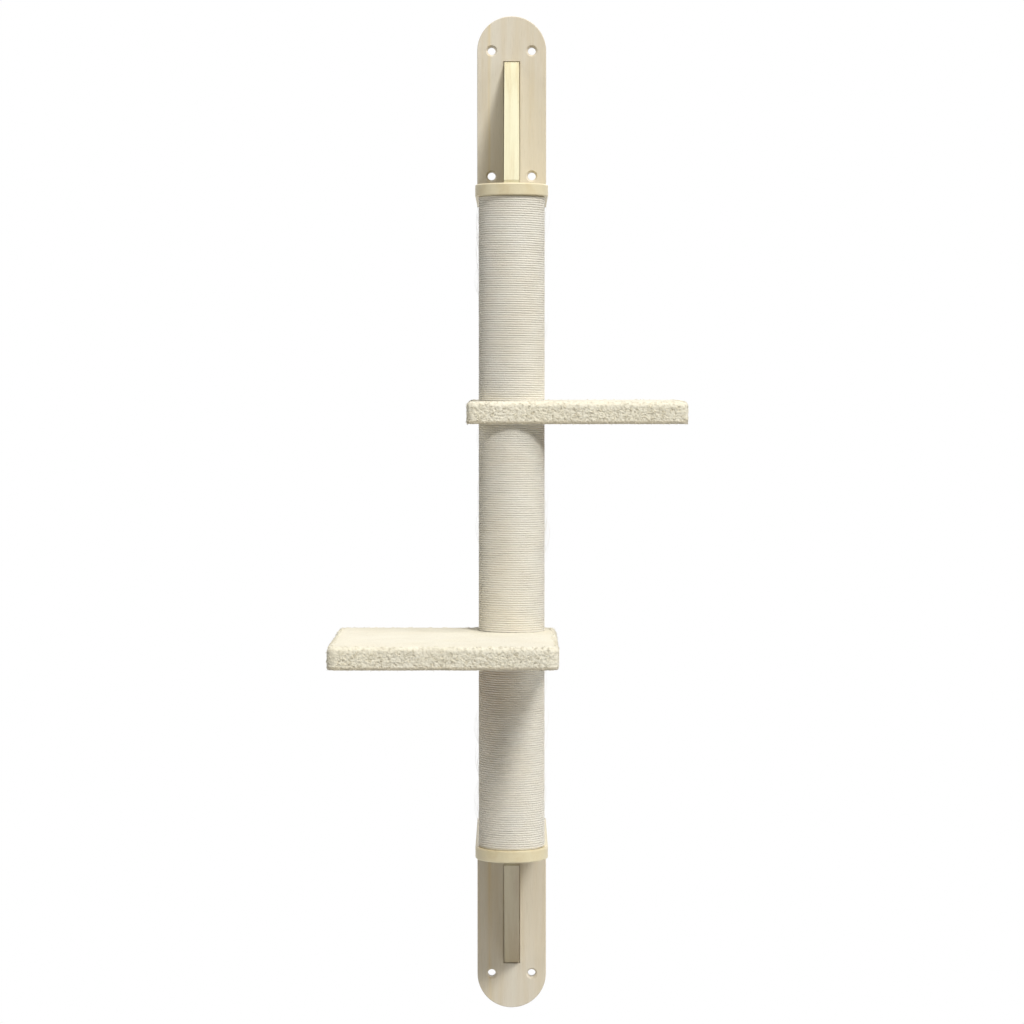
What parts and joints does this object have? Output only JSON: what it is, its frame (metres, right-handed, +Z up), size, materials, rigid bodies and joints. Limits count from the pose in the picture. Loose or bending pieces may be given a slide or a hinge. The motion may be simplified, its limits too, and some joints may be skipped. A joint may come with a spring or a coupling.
{
  "type": "wall mounted cat tree",
  "caption": "Wall mounted cat climbing post: sisal-wound column held by wooden brackets at top and bottom, with offset plush-covered rectangular step platforms.",
  "frame": {"origin": "centre of the upper bracket's four wall holes, on the wall", "axes": "+Z up along the post, +Y into the wall, +X to the right as seen from the room"},
  "size_m": [0.4334, 0.4757, 1.3],
  "materials": {
    "bracket_wood": "smooth pale wood, clear matt lacquer",
    "sisal_rope": "thin natural sisal rope, wound tight and glued",
    "plush": "short cream plush with a curly pile",
    "platform_board": "raw particle board",
    "plug_wood": "turned softwood, raw",
    "cardboard": "wound kraft paperboard",
    "zinc_steel": "zinc plated"
  },
  "bodies": {
    "root": {"upper_wall_plate": "bracket_wood", "upper_arm": "bracket_wood", "upper_brace": "bracket_wood", "upper_plate_screws": "zinc_steel", "upper_arm_screws": "zinc_steel", "upper_post_bolt": "zinc_steel", "upper_post_tube": "cardboard", "upper_sisal_wrap": "sisal_rope", "upper_post_bottom_plug": "plug_wood", "upper_post_top_plug": "plug_wood", "upper_post_inserts": "zinc_steel", "upper_platform_board": "platform_board", "upper_platform_plush": "plush", "upper_platform_staples": "zinc_steel", "upper_platform_stud": "zinc_steel", "middle_post_tube": "cardboard", "middle_sisal_wrap": "sisal_rope", "middle_post_bottom_plug": "plug_wood", "middle_post_top_plug": "plug_wood", "middle_post_inserts": "zinc_steel", "lower_platform_board": "platform_board", "lower_platform_plush": "plush", "lower_platform_staples": "zinc_steel", "lower_platform_stud": "zinc_steel", "lower_post_tube": "cardboard", "lower_sisal_wrap": "sisal_rope", "lower_post_bottom_plug": "plug_wood", "lower_post_top_plug": "plug_wood", "lower_post_inserts": "zinc_steel", "lower_wall_plate": "bracket_wood", "lower_arm": "bracket_wood", "lower_brace": "bracket_wood", "lower_plate_screws": "zinc_steel", "lower_arm_screws": "zinc_steel", "lower_post_bolt": "zinc_steel"}
  },
  "joints": []
}
